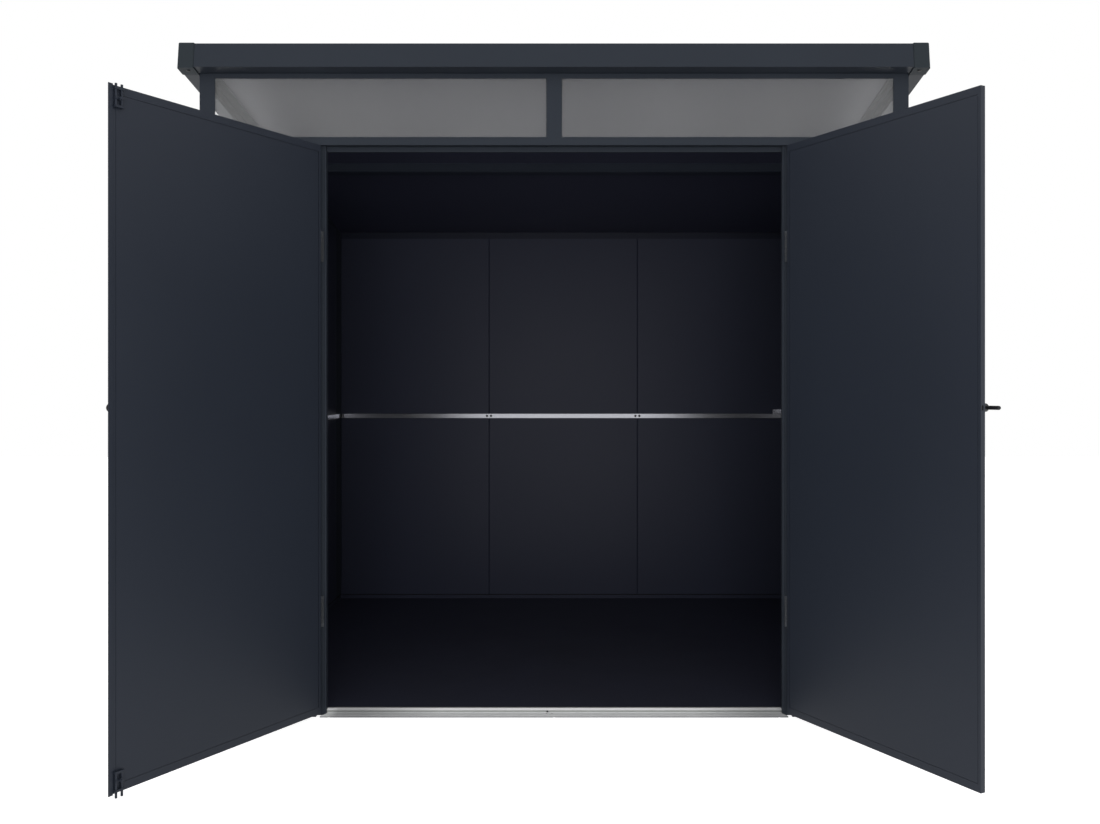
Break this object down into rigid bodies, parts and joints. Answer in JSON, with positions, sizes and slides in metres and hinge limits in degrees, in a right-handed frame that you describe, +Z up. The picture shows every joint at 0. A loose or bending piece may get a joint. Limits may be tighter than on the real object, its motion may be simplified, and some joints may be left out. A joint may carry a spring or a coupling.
{
  "type": "garden shed",
  "caption": "Pent-roof garden shed of folded steel panels with a glazed band under the roof, double doors, door bolts, a handle-driven latch, shelf rails and a rear gutter.",
  "frame": {"origin": "on the ground, at the centre of the wall footprint", "axes": "+Z up, -Y out through the doorway, +X to the right seen from the front; at rest both doors stand open 119 degrees"},
  "size_m": [2.417, 2.6608, 2.1842],
  "materials": {
    "powder_coat": "satin fine-textured powder coat",
    "aluminium": "brushed mill finish",
    "clear_pane": "clear acrylic",
    "floor": "matt powder coat",
    "black_metal": "matt black",
    "bright_steel": "zinc plated",
    "black_plastic": "matt",
    "cap_plastic": "fine-textured, the colour of the frame"
  },
  "bodies": {
    "frame": {"sill": "aluminium", "floor_panel": "floor", "base_rails": "powder_coat", "post_front_left": "powder_coat", "post_front_right": "powder_coat", "post_rear_left": "powder_coat", "post_rear_right": "powder_coat", "front_panel_left": "powder_coat", "front_panel_right": "powder_coat", "side_panels_left": "powder_coat", "side_panels_right": "powder_coat", "back_panel_left": "powder_coat", "back_panel_middle": "powder_coat", "back_panel_right": "powder_coat", "band_rail_front": "powder_coat", "band_rail_left": "powder_coat", "band_rail_right": "powder_coat", "trim_rail_back": "powder_coat", "jamb_left": "powder_coat", "jamb_right": "powder_coat", "head_strip": "powder_coat", "mullion": "powder_coat", "head_rail_front": "powder_coat", "head_rail_left": "powder_coat", "head_rail_right": "powder_coat", "front_pane_left": "clear_pane", "front_pane_right": "clear_pane", "side_pane_left": "clear_pane", "side_pane_right": "clear_pane", "shelf_rail_back": "aluminium", "shelf_rail_left": "aluminium", "shelf_rail_right": "aluminium", "rail_corner_bracket": "black_metal", "frame_screws": "black_metal", "fascia_front": "powder_coat", "fascia_left": "powder_coat", "fascia_right": "powder_coat", "gutter_fascia": "powder_coat", "gutter_outlets": "black_plastic", "corner_caps": "cap_plastic", "purlin": "powder_coat", "roof_sheets": "powder_coat", "frame_hinges_left": "bright_steel", "frame_hinges_right": "bright_steel", "hinge_pins": "bright_steel"},
    "left_leaf": {"left_leaf_tray": "powder_coat", "left_leaf_skin": "powder_coat", "left_leaf_hinges": "bright_steel", "astragal": "powder_coat", "left_bolt_guides": "black_metal", "left_pull_knob": "black_metal"},
    "left_top_bolt": {"left_top_bolt": "powder_coat"},
    "left_bottom_bolt": {"left_bottom_bolt": "powder_coat"},
    "right_leaf": {"right_leaf_tray": "powder_coat", "right_leaf_skin": "powder_coat", "right_leaf_hinges": "bright_steel", "lock_case": "black_metal"},
    "handle": {"tee_handle": "black_metal", "key_cylinder": "bright_steel"},
    "latch": {"latch_bolt": "black_metal"}
  },
  "joints": [
    {"name": "left_door", "type": "hinge", "parent": "frame", "child": "left_leaf", "pos_m": [-0.7735, -0.952, 0], "axis": [0, 0, 1], "range_deg": [0, 119]},
    {"name": "right_door", "type": "hinge", "parent": "frame", "child": "right_leaf", "pos_m": [0.7735, -0.952, 0], "axis": [0, 0, -1], "range_deg": [0, 119]},
    {"name": "top_bolt_slide", "type": "slide", "parent": "left_leaf", "child": "left_top_bolt", "axis": [0, 0, 1], "range_m": [0, 0.012]},
    {"name": "bottom_bolt_slide", "type": "slide", "parent": "left_leaf", "child": "left_bottom_bolt", "axis": [0, 0, -1], "range_m": [0, 0.0055]},
    {"name": "handle_turn", "type": "hinge", "parent": "right_leaf", "child": "handle", "pos_m": [1.12362, -1.596, 1.019], "axis": [0.8746, 0.4848, 0], "range_deg": [0, 90]},
    {"name": "latch_slide", "type": "slide", "parent": "right_leaf", "child": "latch", "axis": [0.4848, -0.8746, 0], "range_m": [0, 0.02]}
  ],
  "couplings": [
    {"joint": "latch_slide", "follows": "handle_turn", "m_per_rad": 0.012732}
  ]
}
